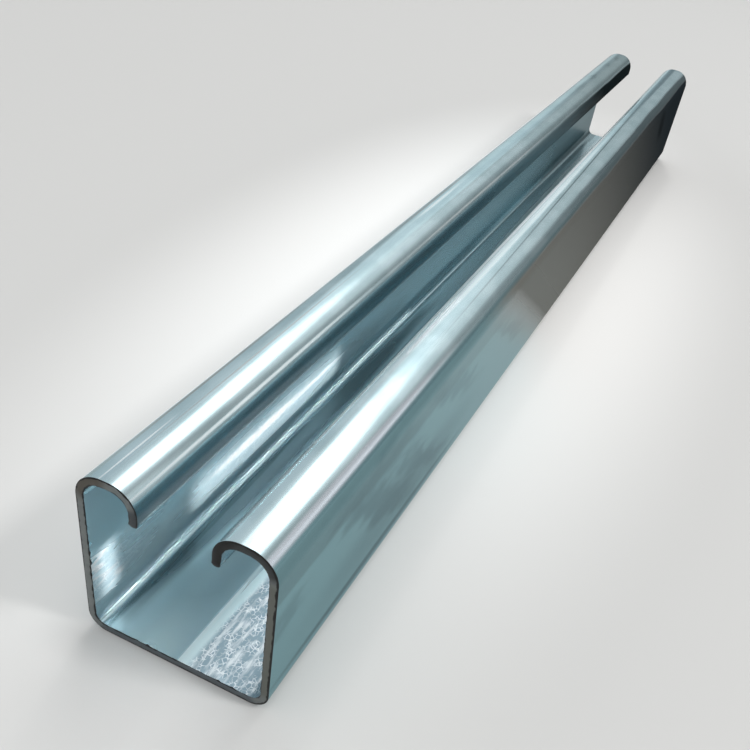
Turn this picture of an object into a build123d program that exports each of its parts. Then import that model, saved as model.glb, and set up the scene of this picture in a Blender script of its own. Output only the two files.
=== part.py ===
from build123d import *
import os

# Lipped channel section, roll-formed from one strip of pre-galvanised steel.
# It lies on its web with the slot upwards. The origin is under the middle of
# the web, +X runs along the length and +Z points out of the slot.
# All sizes are millimetres.

# Stock
length = 380.0
wall = 1.8

# Section, outside sizes
width = 41.0
height = 41.0
slot_width = 15.0
lip_depth = 8.0

# Inside radius of each bend, in the order that the strip meets them
web_bend_radius = 2.4
flange_bend_radius = 4.2
lip_bend_radius = 3.7

# Rounding of the strip's rolled edge, at the end of each lip
strip_edge_radius = 0.8

# Shortest straight stretch that the forming rolls leave between two bends
bend_land = 0.4


def outside_radii():
    """Outside radius of the three bends, kept within the straight runs they join."""
    flange_room = (width - slot_width) / 2 - bend_land
    lip_room = lip_depth - strip_edge_radius - bend_land
    flange_radius = flange_bend_radius + wall
    lip_radius = min(lip_bend_radius + wall, lip_room)
    squeeze = min(1.0, flange_room / (flange_radius + lip_radius))
    return [web_bend_radius + wall, flange_radius * squeeze, lip_radius * squeeze]


def strip_face(inset):
    """Half of one face of the strip, from the web's middle to the lip's edge."""
    side = width / 2 - inset
    top = height - inset
    lip = slot_width / 2 + inset
    lip_edge = height - lip_depth
    corners = [(0, inset), (side, inset), (side, top), (lip, top), (lip, lip_edge)]
    return FilletPolyline(*corners, radius=[r - inset for r in outside_radii()])


def half_section():
    """Closed outline between the outside and inside faces, with the lip's edge rounded."""
    outside = strip_face(0)
    inside = strip_face(wall)
    lip_edge = Line(outside @ 1, inside @ 1)
    web_middle = Line(inside @ 0, outside @ 0)
    outline = make_face([*outside.edges(), lip_edge, *inside.edges(), web_middle])
    edge_radius = min(strip_edge_radius, 0.49 * wall)
    lip_corners = outline.vertices().sort_by(Axis.Y).filter_by(
        lambda corner: corner.X < slot_width / 2 + 1.01 * wall
        and abs(corner.Y - (height - lip_depth)) < 0.01 * wall
    )
    return fillet(lip_corners, radius=edge_radius)


def channel_section():
    """Whole section, drawn in X and Y, symmetric about the Y axis."""
    half = half_section()
    return half + mirror(half, about=Plane.YZ)


def build_channel():
    """The section run along the stock's length, cut square at both ends."""
    start = Plane(origin=(-length / 2, 0, 0), x_dir=(0, 1, 0), z_dir=(1, 0, 0))
    return extrude(start * channel_section(), amount=length)


os.makedirs("parts", exist_ok=True)
export_step(build_channel(), "parts/channel.step")
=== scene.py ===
import logging
import math
from dataclasses import dataclass, field
from enum import Enum

import bmesh
import bpy
from mathutils import Matrix, Vector, noise


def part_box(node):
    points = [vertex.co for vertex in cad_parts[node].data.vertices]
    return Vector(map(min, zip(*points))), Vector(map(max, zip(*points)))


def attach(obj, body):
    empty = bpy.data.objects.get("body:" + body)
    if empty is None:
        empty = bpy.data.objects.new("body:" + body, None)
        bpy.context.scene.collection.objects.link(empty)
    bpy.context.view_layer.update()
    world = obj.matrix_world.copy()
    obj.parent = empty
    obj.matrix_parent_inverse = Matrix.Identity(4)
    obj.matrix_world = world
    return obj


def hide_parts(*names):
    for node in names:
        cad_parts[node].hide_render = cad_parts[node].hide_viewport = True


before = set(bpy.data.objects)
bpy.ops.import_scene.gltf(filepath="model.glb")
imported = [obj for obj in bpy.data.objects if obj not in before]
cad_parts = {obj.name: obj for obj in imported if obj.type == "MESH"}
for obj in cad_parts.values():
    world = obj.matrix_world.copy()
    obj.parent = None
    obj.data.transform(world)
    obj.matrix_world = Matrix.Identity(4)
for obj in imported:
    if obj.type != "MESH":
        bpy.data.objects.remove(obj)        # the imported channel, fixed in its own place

LOG = logging.getLogger("channel_scene")
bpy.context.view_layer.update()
MM = 0.001
QUARTER_TURN = math.pi / 2
ALONG = Vector((1.0, 0.0, 0.0))
STRIP_PLACE = "strip_place"
MERGE_REACH = 0.001 * MM
LEVEL_REACH = 0.01 * MM
SKIN_GAP = 7.0           # keeps the patterns of the inside and the outside apart
SKIN_REACH = 0.5         # half the step from 0 on the outside face to 1 on the inside one


class Slot(Enum):
    """Places of the two finishes in the channel's material list."""

    ZINC = 0
    SAWN = 1


class Edge(Enum):
    """How a mark on the zinc ends: sharp along the draw lines, worn away in streaks, or broken in blocks."""

    STRAIGHT = "straight"
    WORN = "worn"
    BROKEN = "broken"


def linear(hex_colour: str) -> tuple[float, float, float, float]:
    """Turns an sRGB hex colour into linear values.

    Args:
        hex_colour: Six hex digits after a hash.

    Returns:
        Linear red, green and blue, and an alpha of 1.
    """
    shares = [int(hex_colour[k:k + 2], 16) / 255 for k in (1, 3, 5)]
    values = [s / 12.92 if s <= 0.04045 else ((s + 0.055) / 1.055) ** 2.4 for s in shares]
    return (*values, 1.0)


def add_node(tree: bpy.types.NodeTree, kind: str, links: dict | None = None, **settings) -> bpy.types.Node:
    """Adds one node, sets its properties and fills its sockets.

    Args:
        tree: The node tree that gets the node.
        kind: The node's type.
        links: Socket names or places, each with a value or with another node's output.
        **settings: Properties of the node itself.

    Returns:
        The new node.
    """
    node = tree.nodes.new(kind)
    for name, value in settings.items():
        setattr(node, name, value)
    for name, value in (links or {}).items():
        if isinstance(value, bpy.types.NodeSocket):
            tree.links.new(value, node.inputs[name])
        else:
            node.inputs[name].default_value = value
    return node


def largest(tree: bpy.types.NodeTree, masks: list[bpy.types.NodeSocket]) -> bpy.types.NodeSocket:
    """Joins masks into one.

    Args:
        tree: The node tree that holds them.
        masks: One mask or more.

    Returns:
        The largest of the masks at each point.
    """
    joined, *others = masks
    for mask in others:
        joined = add_node(tree, "ShaderNodeMath", {0: joined, 1: mask}, operation="MAXIMUM").outputs[0]
    return joined


def new_material(name: str) -> tuple[bpy.types.Material, bpy.types.NodeTree]:
    """Makes an empty node material.

    Args:
        name: The material's name.

    Returns:
        The material and its cleared node tree.
    """
    material = bpy.data.materials.new(name)
    material.use_nodes = True
    material.node_tree.nodes.clear()
    return material, material.node_tree


def add_object(name: str, mesh: bmesh.types.BMesh) -> bpy.types.Object:
    """Turns a bmesh into an object at the origin, and frees the bmesh.

    Args:
        name: The object's name.
        mesh: The finished bmesh, with its place in its vertices.

    Returns:
        The object, linked to the scene.
    """
    data = bpy.data.meshes.new(name)
    mesh.to_mesh(data)
    mesh.free()
    thing = bpy.data.objects.new(name, data)
    bpy.context.scene.collection.objects.link(thing)
    return thing


@dataclass(frozen=True)
class Patch:
    """A soft-edged oval on the strip, placed in millimetres as if the strip were unrolled flat.

    The core is the share of the oval that has its full strength. The lean turns the oval
    from along towards across, in degrees.
    """

    along: float
    across: float
    half_length: float
    half_width: float
    lean: float = 0.0
    inside: bool = False
    core: float = 0.2
    strength: float = 1.0

    def mask(self, tree: bpy.types.NodeTree, strip: bpy.types.NodeSocket) -> bpy.types.NodeSocket:
        """Builds the oval's mask.

        Args:
            tree: The material's node tree.
            strip: Place on the unrolled strip: along, across, and 0 outside or 1 inside.

        Returns:
            The mask, from 0 away from the oval to its strength in its middle.
        """
        oval = add_node(tree, "ShaderNodeMapping", {
            "Vector": strip, "Rotation": (0.0, 0.0, math.radians(self.lean)),
            "Location": (self.along * MM, self.across * MM, float(self.inside)),
            "Scale": (self.half_length * MM, self.half_width * MM, SKIN_REACH),
        }, vector_type="TEXTURE")
        reach = add_node(tree, "ShaderNodeVectorMath", {0: oval.outputs["Vector"]}, operation="LENGTH")
        fade = add_node(tree, "ShaderNodeMapRange", {
            "Value": reach.outputs["Value"], "From Min": self.core, "From Max": 1.0,
            "To Min": self.strength, "To Max": 0.0,
        }, interpolation_type="SMOOTHSTEP")
        return fade.outputs["Result"]


@dataclass(frozen=True)
class BlemishAndPaintedLight:
    """A kind of mark on the zinc, or of painted light, shade or highlight, in one or more places."""

    colour: str
    roughness: float
    metallic: float
    patches: tuple[Patch, ...]
    gloss: float = 0.5
    edge: Edge = Edge.WORN

    def mask(self, tree: bpy.types.NodeTree, strip: bpy.types.NodeSocket) -> bpy.types.NodeSocket:
        """Builds the mask of all the places together.

        Args:
            tree: The material's node tree.
            strip: Place on the unrolled strip.

        Returns:
            The largest of the patches' masks at each point.
        """
        return largest(tree, [patch.mask(tree, strip) for patch in self.patches])


@dataclass(frozen=True)
class TarnishAndPaintedLight:
    """A film that grows towards the far end on one lengthwise zone of the strip, in millimetres: oxide in a
    few places, painted shade, reflection or light in most.

    It begins at start and has its strength from full on; unless they are given, it covers
    the whole length. The slant shifts both along the strip for each millimetre across.
    """

    colour: str
    roughness: float
    metallic: float
    zone: tuple[float, float]
    fade: float
    start: float = -400.0
    full: float = -300.0
    strength: float = 1.0
    inside: bool = False
    slant: float = 0.0
    gloss: float = 0.5
    edge: Edge = Edge.WORN

    def mask(self, tree: bpy.types.NodeTree, strip: bpy.types.NodeSocket) -> bpy.types.NodeSocket:
        """Builds the film's mask.

        Args:
            tree: The material's node tree.
            strip: Place on the unrolled strip.

        Returns:
            The mask, from 0 to the film's strength.
        """
        parts = add_node(tree, "ShaderNodeSeparateXYZ", {"Vector": strip})
        middle, half = sum(self.zone) / 2 * MM, (self.zone[1] - self.zone[0]) / 2 * MM
        off_middle = add_node(tree, "ShaderNodeMath", {
            0: parts.outputs["Y"], 1: middle,
        }, operation="SUBTRACT")
        off_middle = add_node(tree, "ShaderNodeMath", {0: off_middle.outputs[0]}, operation="ABSOLUTE")
        in_zone = add_node(tree, "ShaderNodeMapRange", {
            "Value": off_middle.outputs[0], "From Min": half, "From Max": half + self.fade * MM,
            "To Min": 1.0, "To Max": 0.0,
        }, interpolation_type="SMOOTHSTEP")
        along = add_node(tree, "ShaderNodeMath", {
            0: parts.outputs["Y"], 1: self.slant, 2: parts.outputs["X"],
        }, operation="MULTIPLY_ADD")
        shift = self.slant * middle
        grown = add_node(tree, "ShaderNodeMapRange", {
            "Value": along.outputs[0],
            "From Min": self.start * MM + shift, "From Max": self.full * MM + shift,
            "To Min": 0.0, "To Max": self.strength,
        }, interpolation_type="SMOOTHSTEP")
        skin = add_node(tree, "ShaderNodeMath", {
            0: parts.outputs["Z"], 1: float(self.inside), 2: SKIN_REACH,
        }, operation="COMPARE")
        spread = add_node(tree, "ShaderNodeMath", {
            0: in_zone.outputs["Result"], 1: grown.outputs["Result"],
        }, operation="MULTIPLY")
        return add_node(tree, "ShaderNodeMath", {
            0: spread.outputs[0], 1: skin.outputs[0],
        }, operation="MULTIPLY").outputs[0]


# Places on the unrolled strip, in millimetres. Along is counted from the middle
# of the length. Across is counted from the middle of the web round the outside
# face, positive on the +Y side: the outer walls lie between 23 and 54, the
# flanges' tops end at 65 and the lips at 76. Later marks lie over earlier ones.
# Many of these paint light, shade, highlights and reflections into the zinc's colour.
MARKS_AND_PAINTED_LIGHT = (
    # Oxide on the left flange; films inside and on the left lip, where the inside's paler zinc, its darkening
    # towards the far end and the lip's dark far end are painted light and shade
    TarnishAndPaintedLight("#8C9A9A", 0.24, 0.8, zone=(59, 68), fade=2.5, start=0, full=190, strength=0.6),
    # Painted light: a paler, less metallic zinc over the whole inside, so that it looks lit
    TarnishAndPaintedLight("#CBE4EB", 0.20, 0.72, zone=(-80, 80), fade=1, inside=True),
    # Painted shade: the inside darkens towards the far end, most in the crease of the left bend and on the
    # left wall, flange and lip
    TarnishAndPaintedLight("#84979C", 0.30, 0.8, zone=(20, 80), fade=3, start=-20, full=200, inside=True),
    TarnishAndPaintedLight("#56696F", 0.30, 0.8, zone=(15.2, 23.3), fade=1.0, start=30, full=180, strength=0.55,
            inside=True),
    TarnishAndPaintedLight("#435A62", 0.3, 0.8, zone=(24, 80), fade=2, start=80, full=200, strength=0.8, inside=True),
    TarnishAndPaintedLight("#9FB5BC", 0.22, 0.85, zone=(63.1, 63.9), fade=0.8, strength=0.4, edge=Edge.STRAIGHT),
    TarnishAndPaintedLight("#6D8992", 0.24, 0.8, zone=(70.7, 80), fade=1.0, edge=Edge.STRAIGHT),
    # Painted reflection: the left lip's face turns near black towards the far end, for the dark ground it
    # mirrors
    TarnishAndPaintedLight("#151B1D", 0.5, 0.1, zone=(70.3, 80), fade=1.5, start=-50, full=140, gloss=0.0),
    # Painted reflection on the right wall: a greenish tint for the dark ground it mirrors, darker along its
    # top and away from the near end; with darker blotches
    TarnishAndPaintedLight("#83A8AF", 0.18, 0.8, zone=(-57.4, -16), fade=1.4, edge=Edge.STRAIGHT),
    TarnishAndPaintedLight("#5A767C", 0.20, 0.75, zone=(-56.6, -49), fade=1.0, strength=0.6, edge=Edge.STRAIGHT),
    TarnishAndPaintedLight("#66868C", 0.20, 0.75, zone=(-50, -20), fade=4, start=-190, full=-120, strength=0.3,
            edge=Edge.STRAIGHT),
    BlemishAndPaintedLight("#3C5660", 0.28, 0.8, (
        Patch(-146, -40, 36, 7, lean=30, core=0.3, strength=0.55),
        Patch(-124, -36, 28, 6, lean=30, core=0.3, strength=0.5),
        Patch(-105, -46, 30, 5, lean=20, core=0.2, strength=0.35),
        Patch(-150, -50, 30, 6, strength=0.4),
        Patch(-60, -40.7, 30, 4, lean=25, strength=0.4),
        Patch(-187, -42, 9, 6, strength=0.35),
    ), edge=Edge.BROKEN),
    BlemishAndPaintedLight("#3C5660", 0.28, 0.8, (
        Patch(-130, -32, 60, 9, core=0.3, strength=0.3),
        Patch(-142, -24.8, 62, 1.6, core=0.4, strength=0.8),
    ), edge=Edge.STRAIGHT),
    # Painted reflection on the right wall from the middle on: dull brown-grey, then near black at the far
    # end, for the dark ground it mirrors
    TarnishAndPaintedLight("#6E6D68", 0.25, 0.3, zone=(-56.5, -12), fade=2.0, start=-62, full=-30, slant=-1.6, gloss=0.0,
            edge=Edge.STRAIGHT),
    TarnishAndPaintedLight("#20262A", 0.6, 0.02, zone=(-56.8, -12), fade=2.0, start=-55, full=195, slant=-1.6, gloss=0.0,
            edge=Edge.STRAIGHT),
    # Painted reflection of the dark ground in the bend from the right wall to the flange; oxide on the right
    # flange, and a dark patch on the wall by the far end
    TarnishAndPaintedLight("#36454A", 0.3, 0.5, zone=(-59.5, -57.5), fade=0.9, start=-190, full=100, strength=0.9),
    TarnishAndPaintedLight("#7A9199", 0.24, 0.8, zone=(-66.6, -64.9), fade=0.8, start=50, full=140),
    BlemishAndPaintedLight("#0D1012", 0.5, 0.1, (Patch(143, -46.7, 17, 6, lean=40, strength=0.7),), gloss=0.0,
            edge=Edge.STRAIGHT),
    # Painted shade on the web beside the left bend, which also dulls its mirror there
    BlemishAndPaintedLight("#3C5660", 0.25, 0.8, (
        Patch(-105, 14.3, 95, 3.6, inside=True, core=0.55, strength=0.6),
        Patch(-150, 16.0, 58, 1.9, inside=True, core=0.5, strength=0.8),
    )),
    BlemishAndPaintedLight("#24363D", 0.35, 0.5, (Patch(-115, 14.2, 105, 3.4, inside=True, core=0.4, strength=0.45),)),
    # Draw lines and blotches on the flanges, and painted highlight bands along the bends
    BlemishAndPaintedLight("#8E8580", 0.35, 0.7, (
        Patch(-150, 59.9, 52, 0.5, strength=0.8),
        Patch(-36, 60.7, 50, 0.6, strength=0.7),
        Patch(-135, 63.4, 58, 0.35, strength=0.5),
    ), edge=Edge.STRAIGHT),
    BlemishAndPaintedLight("#5F6F73", 0.3, 0.8, (
        Patch(118, 63.2, 9, 2.0, strength=0.4),
        Patch(137, 63.5, 7, 2.2, strength=0.6),
        Patch(161, 63.3, 8, 2.0, strength=0.5),
        Patch(182, 63.6, 8, 2.0, strength=0.5),
    )),
    # Light draw lines on the left flange and lip; the lines along both lips' bends are painted highlights
    BlemishAndPaintedLight("#EDF3F4", 0.32, 0.6, (
        Patch(-180, 62.5, 16, 0.3, strength=0.8),
        Patch(-38, 62.4, 24, 0.8, strength=0.6),
        Patch(-150, 69.4, 70, 0.5, strength=0.6),
        Patch(-15, 69.4, 100, 0.5, strength=0.5),
        Patch(-155, 73.9, 60, 2.0, core=0.3, strength=0.35),
        Patch(-40, -66.3, 120, 1.7, core=0.5, strength=0.6),
        Patch(-60, -68.5, 160, 1.2, core=0.6, strength=0.65),
    ), edge=Edge.STRAIGHT),
    # Painted highlight: a pale lavender band on the right flange's bend, by the near end
    BlemishAndPaintedLight("#D9DAE3", 0.3, 0.7, (Patch(-165, -58.8, 70, 1.3, core=0.4, strength=0.6),), edge=Edge.STRAIGHT),
    # Painted highlights: white bands along the left flange's bend and the right lip's bend
    BlemishAndPaintedLight("#FDFEFE", 0.4, 0.1, (
        Patch(-30, 58.0, 230, 1.7, core=0.6),
        Patch(10, -68.6, 110, 1.6, core=0.5, strength=0.6),
    ), edge=Edge.STRAIGHT),
    BlemishAndPaintedLight("#5F6F73", 0.3, 0.8, (Patch(30, -64.3, 170, 0.4, lean=-0.75, strength=0.9),), edge=Edge.STRAIGHT),
    # Inside: painted light and highlights on the web; pale rubbed zinc, painted light and painted glints on
    # the left wall
    # Painted light: a pale band where the web is lit, from the middle to the far end
    BlemishAndPaintedLight("#DCE9EC", 0.35, 0.4, (Patch(105, 11.3, 120, 1.9, inside=True, core=0.5, strength=0.7),)),
    # Painted light: the patch of the web beside the right wall that light through the slot falls on, with a
    # sharp edge along the left lip's shadow
    BlemishAndPaintedLight("#DDF7FB", 0.30, 0.45, (Patch(-190, -18.3, 120, 18, inside=True, core=0.94, strength=0.9),)),
    # Painted light: the web paler by the open near end
    BlemishAndPaintedLight("#DDF7FB", 0.30, 0.45, (
        Patch(-198, 6, 34, 10, inside=True, core=0.0, strength=0.9),
        Patch(-197, -4, 26, 5, inside=True, core=0.0, strength=0.9),
        Patch(-160, 7, 45, 6, inside=True, core=0.0, strength=0.3),
    ), edge=Edge.STRAIGHT),
    # Painted highlights: a line along the web's left bend, and the lit edge of the web's bright patch by the
    # near end
    BlemishAndPaintedLight("#E9FAFD", 0.30, 0.35, (
        Patch(-120, 19.4, 140, 0.5, inside=True, core=0.5),
        Patch(-190, -0.7, 50, 0.8, inside=True, core=0.4, strength=0.8),
        Patch(-195, -1.9, 40, 1.7, inside=True, core=0.3, strength=0.6),
    ), edge=Edge.STRAIGHT),
    # Pale rubbed zinc on the left wall where the beams fall, and painted light between them
    BlemishAndPaintedLight("#D2EAF1", 0.35, 0.3, (
        Patch(-126, 28.5, 68, 8.5, inside=True, core=0.2, strength=0.5),
        Patch(-168, 26.5, 34, 8, inside=True, strength=0.4),
        Patch(-190, 32, 22, 9, inside=True, core=0.0, strength=0.55),
    )),
    # Painted glints: white streaks on the left wall, and one on the web by the near end
    BlemishAndPaintedLight("#FBF9F8", 0.35, 0.2, (
        Patch(-128, 29.6, 30, 1.6, inside=True, core=0.4, strength=0.85),
        Patch(-106, 29.3, 30, 1.0, inside=True, strength=0.7),
        Patch(-189, 34, 9, 1.8, lean=-35, inside=True, core=0.4, strength=0.9),
        Patch(-186, 31, 9, 1.5, lean=-60, inside=True, core=0.3, strength=0.7),
        Patch(-168, -5.3, 9, 1.3, inside=True, core=0.4, strength=0.9),
    )),
)
# White rust on the web beside the right wall and on the left wall; its pale colours also paint the light on
# the web's lit patch and the glints on the left wall
FROST_AND_PAINTED_LIGHT = (
    Patch(-190, -19.5, 120, 17.5, inside=True, core=0.9),
    Patch(-128, 29.5, 50, 7, inside=True, core=0.2, strength=0.35),
    Patch(-188, 31, 20, 9, inside=True, strength=0.5),
)


Finish = tuple[bpy.types.NodeSocket, bpy.types.NodeSocket]


@dataclass(frozen=True)
class PreGalvanisedSteel:
    """Strip steel dipped in zinc before it was rolled: bright, bluish, with a thin film of oxide.

    To the eye it is a blurred mirror, streaked along the strip. The draw lines are coarser
    than real ones, so that they show. A film socket carries roughness, metallic and gloss
    as one vector. Ranges are of noise, about 0.5 on average.
    """

    fresh_zinc: str = "#C1D5DA"
    dull_zinc: str = "#B2C8CD"
    edge_tint: str = "#C9D7DA"
    metallic: float = 0.8
    gloss: float = 0.5
    roughness: tuple[float, float] = (0.15, 0.22)
    streak_size: tuple[float, float] = (160 * MM, 0.7 * MM)
    streak_range: tuple[float, float] = (0.3, 0.7)
    cloud_size: tuple[float, float] = (14.4 * MM, 9 * MM)
    cloud_range: tuple[float, float] = (0.35, 0.65)
    wave_height: float = 0.004 * MM
    worn_size: tuple[float, float] = (30 * MM, 3 * MM)
    worn_reach: tuple[float, float] = (40 * MM, 1.6 * MM)
    broken_size: tuple[float, float] = (9 * MM, 4 * MM)
    broken_reach: tuple[float, float] = (26 * MM, 9 * MM)
    frost_white: str = "#F8FCFD"
    frost_dark: str = "#8FA5B1"
    frost_film: tuple[float, float, float] = (0.42, 0.6, 0.5)
    smear_size: tuple[float, float] = (6 * MM, 1.2 * MM)
    smear_range: tuple[float, float] = (0.46, 0.7)
    smear_strength: float = 0.7
    crackle_size: float = 0.85 * MM
    crackle_stretch: float = 1.25
    crack_width: tuple[float, float] = (0.02, 0.11)
    crack_strength: float = 0.8
    kept_range: tuple[float, float] = (0.42, 0.55)
    crazed_size: tuple[float, float] = (2.2 * MM, 1.6 * MM)
    crazed_reach: tuple[float, float] = (1.0 * MM, 0.8 * MM)

    def build(self) -> bpy.types.Material:
        """Builds the zinc's material.

        Returns:
            The material.
        """
        material, tree = new_material("pre_galvanised_steel")
        strip = add_node(tree, "ShaderNodeAttribute", attribute_name=STRIP_PLACE).outputs["Vector"]
        places = {
            Edge.STRAIGHT: strip,
            Edge.WORN: self.ragged(tree, strip, self.worn_size, self.worn_reach),
            Edge.BROKEN: self.ragged(tree, strip, self.broken_size, self.broken_reach),
        }
        clouds = self.pattern(tree, strip, self.cloud_size, 3.0)
        finish = self.bright_zinc(tree, strip, clouds)
        for mark in MARKS_AND_PAINTED_LIGHT:
            mask = mark.mask(tree, places[mark.edge])
            film = (mark.roughness, mark.metallic, mark.gloss)
            finish = self.laid_over(tree, finish, mask, linear(mark.colour), film)
        frost_and_light = largest(tree, [patch.mask(tree, places[Edge.WORN]) for patch in FROST_AND_PAINTED_LIGHT])
        colour, film = self.laid_over(tree, finish, frost_and_light, self.frosted(tree, strip), self.frost_film)
        numbers = add_node(tree, "ShaderNodeSeparateXYZ", {"Vector": film})
        waves = add_node(tree, "ShaderNodeBump", {
            "Height": clouds, "Strength": 1.0, "Distance": self.wave_height,
        })
        surface = add_node(tree, "ShaderNodeBsdfPrincipled", {
            "Base Color": colour, "Roughness": numbers.outputs["X"], "Metallic": numbers.outputs["Y"],
            "Specular IOR Level": numbers.outputs["Z"], "Specular Tint": linear(self.edge_tint),
            "Normal": waves.outputs["Normal"],
        })
        add_node(tree, "ShaderNodeOutputMaterial", {"Surface": surface.outputs["BSDF"]})
        return material

    @staticmethod
    def laid_over(tree: bpy.types.NodeTree, under: Finish, mask: bpy.types.NodeSocket,
                  colour: tuple | bpy.types.NodeSocket, film: tuple[float, float, float]) -> Finish:
        """Lays one finish over another.

        Args:
            tree: The material's node tree.
            under: Colour and film of the finish below.
            mask: Where the new finish lies.
            colour: The new finish's colour, linear.
            film: The new finish's roughness, metallic and gloss.

        Returns:
            Colour and film of the two together.
        """
        mixed = add_node(tree, "ShaderNodeMix", {0: mask, 6: under[0], 7: colour}, data_type="RGBA")
        spread = add_node(tree, "ShaderNodeMix", {0: mask, 4: under[1], 5: film}, data_type="VECTOR")
        return mixed.outputs[2], spread.outputs[1]

    def bright_zinc(self, tree: bpy.types.NodeTree, strip: bpy.types.NodeSocket,
                    clouds: bpy.types.NodeSocket) -> Finish:
        """Zinc as it came off the rolls: faintly clouded, with fine draw lines in its gloss.

        Args:
            tree: The material's node tree.
            strip: Place on the unrolled strip.
            clouds: Noise that mottles the colour.

        Returns:
            Colour and film.
        """
        mottled = add_node(tree, "ShaderNodeMapRange", {
            "Value": clouds, "From Min": self.cloud_range[0], "From Max": self.cloud_range[1],
        }, interpolation_type="SMOOTHSTEP")
        colour = add_node(tree, "ShaderNodeMix", {
            0: mottled.outputs["Result"], 6: linear(self.fresh_zinc), 7: linear(self.dull_zinc),
        }, data_type="RGBA")
        roughness = add_node(tree, "ShaderNodeMapRange", {
            "Value": self.pattern(tree, strip, self.streak_size, 3.0),
            "From Min": self.streak_range[0], "From Max": self.streak_range[1],
            "To Min": self.roughness[0], "To Max": self.roughness[1],
        })
        film = add_node(tree, "ShaderNodeCombineXYZ", {
            "X": roughness.outputs["Result"], "Y": self.metallic, "Z": self.gloss,
        })
        return colour.outputs[2], film.outputs["Vector"]

    def frosted(self, tree: bpy.types.NodeTree, strip: bpy.types.NodeSocket) -> bpy.types.NodeSocket:
        """Colour of the white rust: smears and fine crackle on a dull ground.

        Args:
            tree: The material's node tree.
            strip: Place on the unrolled strip.

        Returns:
            The colour.
        """
        smears = add_node(tree, "ShaderNodeMapRange", {
            "Value": self.pattern(tree, strip, self.smear_size, 4.0),
            "From Min": self.smear_range[0], "From Max": self.smear_range[1], "To Max": self.smear_strength,
        }, interpolation_type="SMOOTHSTEP")
        return add_node(tree, "ShaderNodeMix", {
            0: largest(tree, [self.crackle(tree, strip), smears.outputs["Result"]]),
            6: linear(self.frost_dark), 7: linear(self.frost_white),
        }, data_type="RGBA").outputs[2]

    @staticmethod
    def ragged(tree: bpy.types.NodeTree, strip: bpy.types.NodeSocket, size: tuple[float, float],
               reach: tuple[float, float]) -> bpy.types.NodeSocket:
        """Shifts the place on the strip by noise, so that a mark laid with it gets uneven edges.

        Args:
            tree: The material's node tree.
            strip: Place on the unrolled strip.
            size: Size of the noise's waves along and across, in metres.
            reach: Twice the largest shift along and across, in metres.

        Returns:
            The shifted place; inside stays inside.
        """
        stretched = add_node(tree, "ShaderNodeMapping", {
            "Vector": strip, "Scale": (1 / size[0], 1 / size[1], SKIN_GAP),
        })
        shift = add_node(tree, "ShaderNodeTexNoise", {
            "Vector": stretched.outputs["Vector"], "Scale": 1.0, "Detail": 3.0,
        })
        centred = add_node(tree, "ShaderNodeVectorMath", {
            0: shift.outputs["Color"], 1: (0.5, 0.5, 0.5),
        }, operation="SUBTRACT")
        return add_node(tree, "ShaderNodeVectorMath", {
            0: centred.outputs["Vector"], 1: (*reach, 0.0), 2: strip,
        }, operation="MULTIPLY_ADD").outputs["Vector"]

    def crackle(self, tree: bpy.types.NodeTree, strip: bpy.types.NodeSocket) -> bpy.types.NodeSocket:
        """Fine white lines between the cells of the white rust, broken off here and there.

        Args:
            tree: The material's node tree.
            strip: Place on the unrolled strip.

        Returns:
            The lines' mask.
        """
        crazed = self.ragged(tree, strip, self.crazed_size, self.crazed_reach)
        cells = add_node(tree, "ShaderNodeMapping", {
            "Vector": crazed,
            "Scale": (1 / (self.crackle_stretch * self.crackle_size), 1 / self.crackle_size, SKIN_GAP),
        })
        edges = add_node(tree, "ShaderNodeTexVoronoi", {
            "Vector": cells.outputs["Vector"], "Scale": 1.0,
        }, feature="DISTANCE_TO_EDGE")
        lines = add_node(tree, "ShaderNodeMapRange", {
            "Value": edges.outputs["Distance"],
            "From Min": self.crack_width[0], "From Max": self.crack_width[1],
            "To Min": self.crack_strength, "To Max": 0.0,
        })
        kept = add_node(tree, "ShaderNodeMapRange", {
            "Value": self.pattern(tree, strip, (3 * self.crackle_size, 2 * self.crackle_size), 3.0),
            "From Min": self.kept_range[0], "From Max": self.kept_range[1],
        })
        return add_node(tree, "ShaderNodeMath", {
            0: lines.outputs["Result"], 1: kept.outputs["Result"],
        }, operation="MULTIPLY").outputs[0]

    @staticmethod
    def pattern(tree: bpy.types.NodeTree, strip: bpy.types.NodeSocket, size: tuple[float, float],
                detail: float) -> bpy.types.NodeSocket:
        """Noise drawn out along the strip.

        Args:
            tree: The material's node tree.
            strip: Place on the unrolled strip.
            size: Size of the noise's waves along and across, in metres.
            detail: Octaves of finer noise.

        Returns:
            The noise's value, about 0.5 on average.
        """
        stretched = add_node(tree, "ShaderNodeMapping", {
            "Vector": strip, "Scale": (1 / size[0], 1 / size[1], SKIN_GAP),
        })
        noise_map = add_node(tree, "ShaderNodeTexNoise", {
            "Vector": stretched.outputs["Vector"], "Scale": 1.0, "Detail": detail, "Roughness": 0.5,
        })
        return noise_map.outputs["Fac"]


# Tones of the sawn ends: web, right wall, left flange, right flange and the two lips' ends
SAWN_TONES = (
    ("#5D6468", Patch(0, 0, 1000, 19, core=0.9)),
    ("#62655F", Patch(0, -38, 1000, 17, core=0.85)),
    ("#504C44", Patch(0, 58.5, 1000, 7, core=0.5)),
    ("#2E3233", Patch(0, -64, 1000, 11, core=0.75)),
    ("#0B0C0D", Patch(0, -73, 1000, 9, core=0.6)),
    ("#3A4043", Patch(0, 75, 1000, 5, core=0.5)),
)


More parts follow.
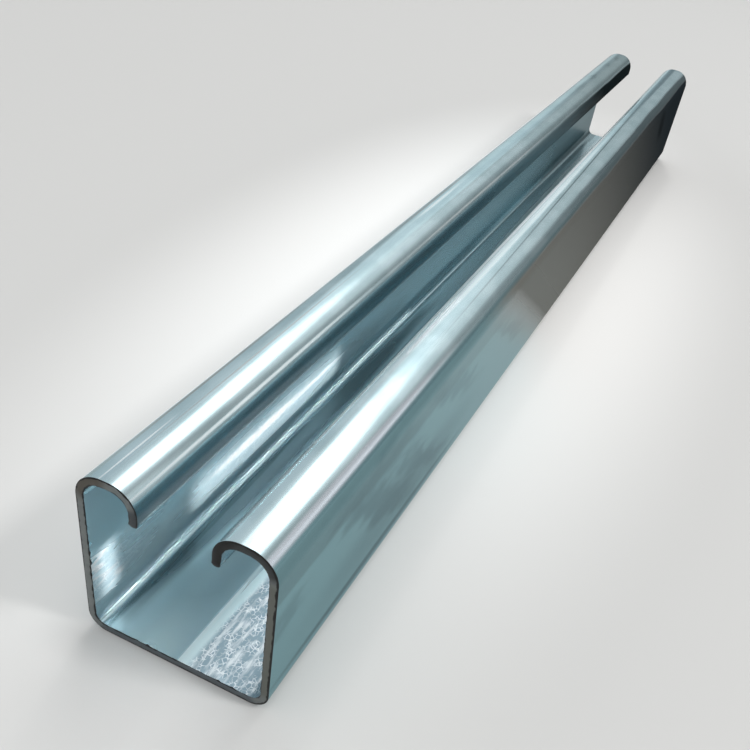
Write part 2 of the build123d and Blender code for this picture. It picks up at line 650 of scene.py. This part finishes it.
@dataclass(frozen=True)
class SawnSteel:
    """Bare steel at a sawn end: dull grey, finely scored, with a black burnt rim.

    The clean band lies a little nearer the inside face on the right than on the left, and
    the rim's edge wavers with the scores. Depths are shares of the strip's thickness.
    """

    bare: str = "#7C817E"
    stained: str = "#62686A"
    rim: str = "#141312"
    metallic: float = 0.4
    roughness: float = 0.5
    score_size: float = 1.4 * MM
    clean_runs: tuple[float, float] = (-15 * MM, 25 * MM)
    clean_depths: tuple[float, float] = (0.58, 0.5)
    waver: float = 0.5
    rim_edge: tuple[float, float] = (0.54, 0.66)

    def build(self) -> bpy.types.Material:
        """Builds the sawn ends' material.

        Returns:
            The material.
        """
        material, tree = new_material("sawn_steel")
        place = add_node(tree, "ShaderNodeTexCoord").outputs["Object"]
        strip = add_node(tree, "ShaderNodeAttribute", attribute_name=STRIP_PLACE).outputs["Vector"]
        parts = add_node(tree, "ShaderNodeSeparateXYZ", {"Vector": strip})
        scores = add_node(tree, "ShaderNodeTexNoise", {
            "Vector": place, "Scale": 1 / self.score_size, "Detail": 4.0,
        }).outputs["Fac"]
        colour = add_node(tree, "ShaderNodeMix", {
            0: scores, 6: linear(self.bare), 7: linear(self.stained),
        }, data_type="RGBA").outputs[2]
        flat = add_node(tree, "ShaderNodeVectorMath", {0: strip, 1: (1.0, 1.0, 0.0)}, operation="MULTIPLY")
        for tone, patch in SAWN_TONES:
            colour = add_node(tree, "ShaderNodeMix", {
                0: patch.mask(tree, flat.outputs["Vector"]), 6: colour, 7: linear(tone),
            }, data_type="RGBA").outputs[2]
        clean = add_node(tree, "ShaderNodeMapRange", {
            "Value": parts.outputs["Y"], "From Min": self.clean_runs[0], "From Max": self.clean_runs[1],
            "To Min": self.clean_depths[0], "To Max": self.clean_depths[1],
        })
        depth = add_node(tree, "ShaderNodeMath", {
            0: parts.outputs["Z"], 1: clean.outputs["Result"],
        }, operation="SUBTRACT")
        depth = add_node(tree, "ShaderNodeMath", {0: depth.outputs[0]}, operation="ABSOLUTE")
        ragged = add_node(tree, "ShaderNodeMath", {
            0: scores, 1: self.waver, 2: depth.outputs[0],
        }, operation="MULTIPLY_ADD")
        burnt = add_node(tree, "ShaderNodeMapRange", {
            "Value": ragged.outputs[0], "From Min": self.rim_edge[0], "From Max": self.rim_edge[1],
        }, interpolation_type="SMOOTHSTEP")
        colour = add_node(tree, "ShaderNodeMix", {
            0: burnt.outputs["Result"], 6: colour, 7: linear(self.rim),
        }, data_type="RGBA").outputs[2]
        surface = add_node(tree, "ShaderNodeBsdfPrincipled", {
            "Base Color": colour, "Metallic": self.metallic, "Roughness": self.roughness,
        })
        add_node(tree, "ShaderNodeOutputMaterial", {"Surface": surface.outputs["BSDF"]})
        return material


class StripPen:
    """Draws one face of the strip, square to its length, and notes how far along the strip's width it is."""

    def __init__(self, mesh: bmesh.types.BMesh, start: Vector, heading: Vector) -> None:
        """Starts the run.

        Args:
            mesh: The bmesh that gets the run's vertices and edges.
            start: The run's first point.
            heading: Direction of the first stretch.
        """
        self.mesh = mesh
        self.place = mesh.verts.layers.float_vector.new(STRIP_PLACE)
        self.tip = bmesh.ops.create_vert(mesh, co=start)["vert"][0]
        self.heading = heading.copy()

    def extend(self, length: float) -> None:
        """Adds one vertex.

        Args:
            length: Length of strip between the last vertex and the new one.
        """
        run = self.tip[self.place].y + length
        made = bmesh.ops.extrude_vert_indiv(self.mesh, verts=[self.tip])
        self.tip = made["verts"][0]
        self.tip[self.place] = Vector((0.0, run, 0.0))

    def straight(self, length: float, step: float) -> None:
        """Adds a straight stretch.

        Args:
            length: Length of the stretch.
            step: Rough spacing of its vertices.
        """
        count = max(1, round(length / step))
        for _ in range(count):
            self.extend(length / count)
            bmesh.ops.translate(self.mesh, verts=[self.tip], vec=self.heading * (length / count))

    def bend(self, radius: float, segments: int) -> None:
        """Adds a quarter-turn bend to the left of the heading, seen from the far end.

        Args:
            radius: Radius of this face in the bend.
            segments: Number of edges in the arc.
        """
        centre = self.tip.co + ALONG.cross(self.heading) * radius
        turn = Matrix.Rotation(QUARTER_TURN / segments, 3, ALONG)
        for _ in range(segments):
            self.extend(radius * QUARTER_TURN / segments)
            bmesh.ops.rotate(self.mesh, verts=[self.tip], cent=centre, matrix=turn)
            self.heading.rotate(turn)


@dataclass(frozen=True)
class Burr:
    """A torn scrap of steel that the saw left on the inner edge of the near end."""

    across: float
    reach: float
    half_width: float = 0.7 * MM


BURRS = (
    Burr(37.2 * MM, 0.55 * MM),
    Burr(39.6 * MM, 0.35 * MM, 0.6 * MM),
    Burr(6.6 * MM, 0.45 * MM),
    Burr(9.4 * MM, 0.3 * MM),
    Burr(-9.6 * MM, 0.4 * MM),
    Burr(-12.6 * MM, 0.35 * MM),
)


@dataclass
class RolledChannel:
    """The lipped channel: one strip, bent six times and sawn off at both ends.

    A face is a sawn end if its normal's share along the length is over end_facing, and a
    side if it is under side_facing. The inside face starts at inside_from, from 0 to 1.
    """

    wall: float = 1.8 * MM
    slot_width: float = 15.0 * MM
    lip_depth: float = 8.0 * MM
    web_bend: float = 2.4 * MM
    flange_bend: float = 4.2 * MM
    lip_bend: float = 3.7 * MM
    strip_edge: float = 0.8 * MM
    cut_edge: float = 0.1 * MM
    raggedness: float = 0.16 * MM
    tear_depth: float = 0.5 * MM
    tear_wave: float = 0.9 * MM
    tear_seed: float = 3.7
    sliver: float = 0.003 * MM
    bend_segments: int = 12
    outline_step: float = 0.6 * MM
    station_step: float = 5.0 * MM
    end_stations: tuple[float, ...] = (0.4 * MM, 0.9 * MM, 1.8 * MM, 3.5 * MM, 5.5 * MM)
    end_facing: float = 0.9
    side_facing: float = 0.5
    inside_from: float = 0.9
    low: Vector = field(default_factory=lambda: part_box("channel")[0])
    high: Vector = field(default_factory=lambda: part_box("channel")[1])

    @property
    def width(self) -> float:
        """Outside width of the section."""
        return self.high.y - self.low.y

    @property
    def height(self) -> float:
        """Outside height of the section."""
        return self.high.z - self.low.z

    def half_outline(self, mesh: bmesh.types.BMesh) -> None:
        """Draws the outside face of one half of the strip at the near end.

        Args:
            mesh: The bmesh that gets the outline.
        """
        web, flange, lip = (bend + self.wall for bend in (self.web_bend, self.flange_bend, self.lip_bend))
        pen = StripPen(mesh, Vector((self.low.x, 0.0, self.low.z)), Vector((0.0, 1.0, 0.0)))
        pen.straight(self.width / 2 - web, self.outline_step)
        pen.bend(web, self.bend_segments)
        pen.straight(self.height - web - flange, self.outline_step)
        pen.bend(flange, self.bend_segments)
        pen.straight((self.width - self.slot_width) / 2 - flange - lip, self.outline_step)
        pen.bend(lip, self.bend_segments)
        pen.straight(self.lip_depth - lip, self.outline_step)

    def stations(self) -> list[float]:
        """Places along the length where the mesh has a ring, close together at the sawn ends.

        Returns:
            Distances from the near end, in metres, without the near end itself.
        """
        length = self.high.x - self.low.x
        close = list(self.end_stations)
        count = round((length - 2 * close[-1]) / self.station_step)
        step = (length - 2 * close[-1]) / count
        middle = [close[-1] + step * k for k in range(1, count)]
        return close + middle + [length - d for d in reversed(close)] + [length]

    def run_lengthwise(self, mesh: bmesh.types.BMesh) -> None:
        """Draws the outline out into a sheet along the length.

        Args:
            mesh: The bmesh that holds the outline.
        """
        front = list(mesh.edges)
        done = 0.0
        for station in self.stations():
            made = bmesh.ops.extrude_edge_only(mesh, edges=front)["geom"]
            verts = [part for part in made if isinstance(part, bmesh.types.BMVert)]
            front = [part for part in made if isinstance(part, bmesh.types.BMEdge)]
            bmesh.ops.translate(mesh, verts=verts, vec=ALONG * (station - done))
            done = station

    def thicken(self, mesh: bmesh.types.BMesh) -> None:
        """Mirrors the half sheet, turns it outwards and gives it the strip's thickness.

        Args:
            mesh: The bmesh that holds the half sheet.
        """
        everything = mesh.verts[:] + mesh.edges[:] + mesh.faces[:]
        bmesh.ops.mirror(mesh, geom=everything, axis="Y", merge_dist=MERGE_REACH)
        bmesh.ops.remove_doubles(mesh, verts=mesh.verts, dist=MERGE_REACH)
        bmesh.ops.recalc_face_normals(mesh, faces=mesh.faces)
        under = min(mesh.faces, key=lambda face: face.calc_center_median().z)
        if under.normal.z > 0:
            bmesh.ops.reverse_faces(mesh, faces=mesh.faces)
        outside = set(mesh.verts)
        bmesh.ops.solidify(mesh, geom=mesh.faces[:], thickness=self.wall)
        place = mesh.verts.layers.float_vector[STRIP_PLACE]
        for vert in mesh.verts:
            side = math.copysign(1.0, vert.co.y)
            inside = 0.0 if vert in outside else 1.0
            vert[place] = Vector((vert.co.x, side * vert[place].y, inside))

    def round_strip_edges(self, mesh: bmesh.types.BMesh) -> None:
        """Rounds the strip's rolled edges, at the ends of the lips.

        Args:
            mesh: The channel's bmesh.
        """
        lip_end = self.high.z - self.lip_depth
        past_lips = self.slot_width / 2 + self.wall + LEVEL_REACH
        edges = [
            edge for edge in mesh.edges
            if all(abs(v.co.z - lip_end) < LEVEL_REACH and abs(v.co.y) < past_lips for v in edge.verts)
            and abs(edge.verts[0].co.y - edge.verts[1].co.y) < LEVEL_REACH
        ]
        bmesh.ops.bevel(
            mesh, geom=edges, offset=self.strip_edge, offset_type="OFFSET", affect="EDGES",
            segments=4, profile=0.5, material=-1,
        )

    def finish_ends(self, mesh: bmesh.types.BMesh) -> None:
        """Gives the sawn ends their finish, a broken edge, and the near end its torn inner edge.

        Args:
            mesh: The channel's bmesh.
        """
        ends = [face for face in mesh.faces if abs(face.normal.x) > self.end_facing]
        for face in ends:
            face.material_index = Slot.SAWN.value
        inside_ends = set(ends)
        rims = [
            edge for edge in mesh.edges
            if sum(face in inside_ends for face in edge.link_faces) == 1
        ]
        bevelled = bmesh.ops.bevel(
            mesh, geom=rims, offset=self.cut_edge, offset_type="OFFSET", affect="EDGES",
            segments=1, profile=0.5, material=Slot.SAWN.value,
        )
        LOG.info("sawn ends: %d edge faces", len(bevelled["faces"]))
        bmesh.ops.dissolve_degenerate(mesh, dist=self.sliver, edges=mesh.edges)
        self.tear_inner_edge(mesh)

    def tear_inner_edge(self, mesh: bmesh.types.BMesh) -> None:
        """Pushes the near end's inner edge in and out as a worn saw leaves it.

        Args:
            mesh: The channel's bmesh.
        """
        place = mesh.verts.layers.float_vector[STRIP_PLACE]
        mesh.normal_update()
        moves = []
        for vert in mesh.verts:
            depth = vert.co.x - self.low.x
            if vert[place].z < self.inside_from or depth > self.tear_depth:
                continue
            skin = [face.normal for face in vert.link_faces if abs(face.normal.x) < self.side_facing]
            if not skin:
                continue
            inward = sum(skin, Vector()).normalized()
            run = vert[place].y
            wave = noise.noise(Vector((run / self.tear_wave, self.tear_seed, 0.0)))
            push = self.raggedness * wave
            for burr in BURRS:
                push += burr.reach * max(0.0, 1 - abs(run - burr.across) / burr.half_width)
            moves.append((vert, inward * push * (1 - depth / (2 * self.tear_depth))))
        for vert, move in moves:
            vert.co += Vector((0.0, move.y, move.z))

    def build(self) -> bpy.types.Object:
        """Builds the channel's mesh.

        Returns:
            The channel's object.
        """
        mesh = bmesh.new()
        self.half_outline(mesh)
        self.run_lengthwise(mesh)
        self.thicken(mesh)
        self.round_strip_edges(mesh)
        self.finish_ends(mesh)
        for face in mesh.faces:
            face.smooth = True
        for edge in mesh.edges:
            kinds = {face.material_index for face in edge.link_faces}
            edge.smooth = len(kinds) == 1
        LOG.info("channel: volume %.0f cubic mm", mesh.calc_volume(signed=True) / MM ** 3)
        return add_object("rolled_channel", mesh)

    def dress(self, thing: bpy.types.Object) -> None:
        """Gives the channel its finishes and its place in the model.

        Args:
            thing: The channel's object.
        """
        thing.data.materials.append(PreGalvanisedSteel().build())
        thing.data.materials.append(SawnSteel().build())
        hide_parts("channel")
        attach(thing, "root")


@dataclass(frozen=True)
class Glow:
    """A soft-edged part of the room, in degrees of azimuth and elevation as the channel sees it."""

    azimuth: float
    elevation: float
    half_width: float
    half_height: float
    feather: float
    radiance: float
    tilt: float = 0.0
    colour: str = "#FFFFFF"

    def mask(self, tree: bpy.types.NodeTree, angles: bpy.types.NodeSocket) -> bpy.types.NodeSocket:
        """Builds the mask of this part of the room.

        Args:
            tree: The world's node tree.
            angles: Azimuth and elevation, in radians.

        Returns:
            The mask, from 0 outside to 1 inside.
        """
        centred = add_node(tree, "ShaderNodeMapping", {
            "Vector": angles, "Rotation": (0.0, 0.0, math.radians(self.tilt)),
            "Location": (math.radians(self.azimuth), math.radians(self.elevation), 0.0),
        }, vector_type="TEXTURE")
        off_centre = add_node(tree, "ShaderNodeVectorMath", {
            0: centred.outputs["Vector"],
        }, operation="ABSOLUTE")
        inner = Vector((math.radians(self.half_width), math.radians(self.half_height), 0.0))
        soft = math.radians(self.feather)
        edges = add_node(tree, "ShaderNodeMapRange", {
            6: off_centre.outputs["Vector"], 7: inner, 8: inner + Vector((soft, soft, 1.0)),
            9: (1.0, 1.0, 1.0), 10: (0.0, 0.0, 0.0),
        }, data_type="FLOAT_VECTOR", interpolation_type="SMOOTHSTEP")
        sides = add_node(tree, "ShaderNodeSeparateXYZ", {"Vector": edges.outputs["Vector"]})
        return add_node(tree, "ShaderNodeMath", {
            0: sides.outputs["X"], 1: sides.outputs["Y"],
        }, operation="MULTIPLY").outputs[0]


# The room that the channel mirrors. Later parts lie over earlier ones.
GLOWS = (
    Glow(0, 90, 200, 14, feather=14, radiance=0.85),
    Glow(-100, 10, 42, 16, feather=16, radiance=0.6),
    Glow(-80, 48, 36, 14, feather=14, radiance=0.9),
    Glow(-33, 34, 8, 8, feather=9, radiance=0.3),
    Glow(0, 20, 8, 6, feather=6, radiance=0.55),
    Glow(66, 12, 26, 40, feather=16, radiance=0.72, colour="#EEF5FA"),
    Glow(-21, 3, 7, 9, feather=10, radiance=0.2),
    Glow(4, 46, 26, 13, feather=14, radiance=0.95),
    Glow(21.5, 12, 6.5, 24, feather=4, radiance=1.05, colour="#F4FAFC"),
    Glow(-42, 17.5, 6, 1.2, feather=4, radiance=1.8, tilt=-18),
    Glow(8, 59, 24, 20, feather=4, radiance=2.6, tilt=-14),
)


@dataclass(frozen=True)
class SoftBox:
    """A lamp that faces one place, in millimetres, from a given direction, in degrees.

    It is a soft box, or with a small spread a narrow beam.
    """

    name: str
    azimuth: float
    elevation: float
    size: tuple[float, float]
    radiance: float
    distance: float = 1.5
    target: tuple[float, float, float] = (0.0, 0.0, 0.0)
    spread: float = 180.0

    def build(self) -> None:
        """Adds the lamp; the radiance is its brightness as seen, where 1 is white."""
        data = bpy.data.lights.new(self.name, "AREA")
        data.shape = "RECTANGLE"
        data.size, data.size_y = self.size
        data.spread = math.radians(self.spread)
        data.energy = self.radiance * math.pi * self.size[0] * self.size[1]
        lamp = bpy.data.objects.new(self.name, data)
        bpy.context.scene.collection.objects.link(lamp)
        turn, rise = math.radians(self.azimuth), math.radians(self.elevation)
        way = Vector((math.cos(turn) * math.cos(rise), math.sin(turn) * math.cos(rise), math.sin(rise)))
        lamp.location = Vector(self.target) * MM + way * self.distance
        lamp.rotation_euler = (-way).to_track_quat("-Z", "Y").to_euler()


# The beams reach through the slot: to the left wall, to its near end and to the bend below it
SOFT_BOXES = (
    SoftBox("key_box", azimuth=17.5, elevation=50, size=(0.1, 0.1), radiance=40.0),
    SoftBox("side_box", azimuth=-90, elevation=50, size=(0.2, 0.2), radiance=50.0),
    SoftBox("slot_beam", azimuth=-90, elevation=50, size=(0.068, 0.004), radiance=4.0, distance=0.2,
            target=(-123.0, 18.7, 9.8), spread=2.5),
    SoftBox("end_beam", azimuth=-90, elevation=50, size=(0.004, 0.009), radiance=3.6, distance=0.2,
            target=(-185.3, 18.7, 13.0), spread=1.5),
    SoftBox("bend_beam", azimuth=-90, elevation=57, size=(0.15, 0.001), radiance=1.3, distance=0.2,
            target=(-113.0, 17.25, 3.5), spread=0.6),
)


@dataclass
class Studio:
    """Floor, soft lights and the camera at the photograph's angle."""

    floor_reach: float = 3.0
    # Painted light on the floor: paler in an oval round the channel, darker towards the edges
    floor_lit_colour: str = "#F8F7F5"
    floor_shade_colour: str = "#CBCAC8"
    floor_middle: Vector = field(default_factory=lambda: Vector((-2.0, 13.0, 0.0)) * MM)
    floor_oval: tuple[float, float] = (378 * MM, 150 * MM)
    floor_fade: tuple[float, float] = (0.21, 0.72)
    floor_roughness: float = 0.9
    floor_gloss: float = 0.1
    room_colour: str = "#F4F8FA"
    room_glow: float = 0.78
    ahead_glow: float = 0.3
    ahead_edge: tuple[float, float] = (0.42, 0.6)
    camera_place: Vector = field(default_factory=lambda: Vector((-278.045, -64.609, 144.777)) * MM)
    camera_azimuth: float = math.radians(16.527)
    camera_elevation: float = math.radians(-40.211)
    camera_roll: float = math.radians(11.972)
    clip: tuple[float, float] = (0.005, 20.0)
    lens: float = 42.275
    shift: tuple[float, float] = (-0.044, 0.1448)

    def build_floor(self) -> None:
        """Lays the pale floor under the channel: matt painted board, with a pool of light painted into its
        colour round the channel that fades to painted shade at the edges.
        """
        mesh = bmesh.new()
        bmesh.ops.create_grid(mesh, x_segments=1, y_segments=1, size=self.floor_reach)
        floor = add_object("floor", mesh)
        material, tree = new_material("pale_floor")
        place = add_node(tree, "ShaderNodeTexCoord").outputs["Object"]
        centred = add_node(tree, "ShaderNodeVectorMath", {
            0: place, 1: self.floor_middle,
        }, operation="SUBTRACT")
        oval = add_node(tree, "ShaderNodeVectorMath", {
            0: centred.outputs["Vector"], 1: (1 / self.floor_oval[0], 1 / self.floor_oval[1], 1.0),
        }, operation="MULTIPLY")
        reach = add_node(tree, "ShaderNodeVectorMath", {0: oval.outputs["Vector"]}, operation="LENGTH")
        fade = add_node(tree, "ShaderNodeMapRange", {
            "Value": reach.outputs["Value"], "From Min": self.floor_fade[0], "From Max": self.floor_fade[1],
        }, interpolation_type="SMOOTHSTEP")
        colour = add_node(tree, "ShaderNodeMix", {
            0: fade.outputs["Result"], 6: linear(self.floor_lit_colour), 7: linear(self.floor_shade_colour),
        }, data_type="RGBA")
        surface = add_node(tree, "ShaderNodeBsdfPrincipled", {
            "Base Color": colour.outputs[2], "Roughness": self.floor_roughness,
            "Specular IOR Level": self.floor_gloss,
        })
        add_node(tree, "ShaderNodeOutputMaterial", {"Surface": surface.outputs["BSDF"]})
        floor.data.materials.append(material)

    def build_lights(self) -> None:
        """Sets the room's glow, dimmer ahead of the channel than above and behind, and the lamps."""
        world = bpy.data.worlds.new("room")
        bpy.context.scene.world = world
        world.use_nodes = True
        tree = world.node_tree
        tree.nodes.clear()
        way = add_node(tree, "ShaderNodeTexCoord").outputs["Generated"]
        parts = add_node(tree, "ShaderNodeSeparateXYZ", {"Vector": way})
        azimuth = add_node(tree, "ShaderNodeMath", {
            0: parts.outputs["Y"], 1: parts.outputs["X"],
        }, operation="ARCTAN2")
        elevation = add_node(tree, "ShaderNodeMath", {0: parts.outputs["Z"]}, operation="ARCSINE")
        angles = add_node(tree, "ShaderNodeCombineXYZ", {
            "X": azimuth.outputs[0], "Y": elevation.outputs[0],
        })
        ahead = add_node(tree, "ShaderNodeMapRange", {
            "Value": parts.outputs["X"], "From Min": self.ahead_edge[0], "From Max": self.ahead_edge[1],
        }, interpolation_type="SMOOTHSTEP")
        light = add_node(tree, "ShaderNodeMix", {
            0: ahead.outputs["Result"], 6: self.glow_of(self.room_glow), 7: self.glow_of(self.ahead_glow),
        }, data_type="RGBA").outputs[2]
        for glow in GLOWS:
            shade = [share * glow.radiance for share in linear(glow.colour)[:3]]
            light = add_node(tree, "ShaderNodeMix", {
                0: glow.mask(tree, angles.outputs["Vector"]), 6: light, 7: (*shade, 1.0),
            }, data_type="RGBA").outputs[2]
        background = add_node(tree, "ShaderNodeBackground", {"Color": light})
        add_node(tree, "ShaderNodeOutputWorld", {"Surface": background.outputs["Background"]})
        for box in SOFT_BOXES:
            box.build()

    def glow_of(self, radiance: float) -> tuple[float, float, float, float]:
        """The room's colour at a given radiance."""
        return (*[share * radiance for share in linear(self.room_colour)[:3]], 1.0)

    def build_camera(self) -> None:
        """Places the camera where the photograph was taken from."""
        data = bpy.data.cameras.new("camera")
        data.lens = self.lens
        data.shift_x, data.shift_y = self.shift
        data.clip_start, data.clip_end = self.clip
        camera = bpy.data.objects.new("camera", data)
        bpy.context.scene.collection.objects.link(camera)
        level = Matrix.Rotation(self.camera_azimuth - QUARTER_TURN, 4, "Z")
        tilt = Matrix.Rotation(QUARTER_TURN + self.camera_elevation, 4, "X")
        roll = Matrix.Rotation(self.camera_roll, 4, "Z")
        camera.matrix_world = Matrix.Translation(self.camera_place) @ level @ tilt @ roll
        bpy.context.scene.camera = camera

    def build(self) -> None:
        """Builds the whole studio."""
        self.build_floor()
        self.build_lights()
        self.build_camera()
        bpy.context.scene.view_settings.view_transform = "Standard"


def main() -> None:
    """Builds the channel, dresses it and sets up the studio."""
    logging.basicConfig(level=logging.INFO, format="%(message)s")
    channel = RolledChannel()
    piece = channel.build()
    channel.dress(piece)
    LOG.info("%s: %d faces", piece.name, len(piece.data.polygons))
    Studio().build()


if __name__ == "__main__":
    main()
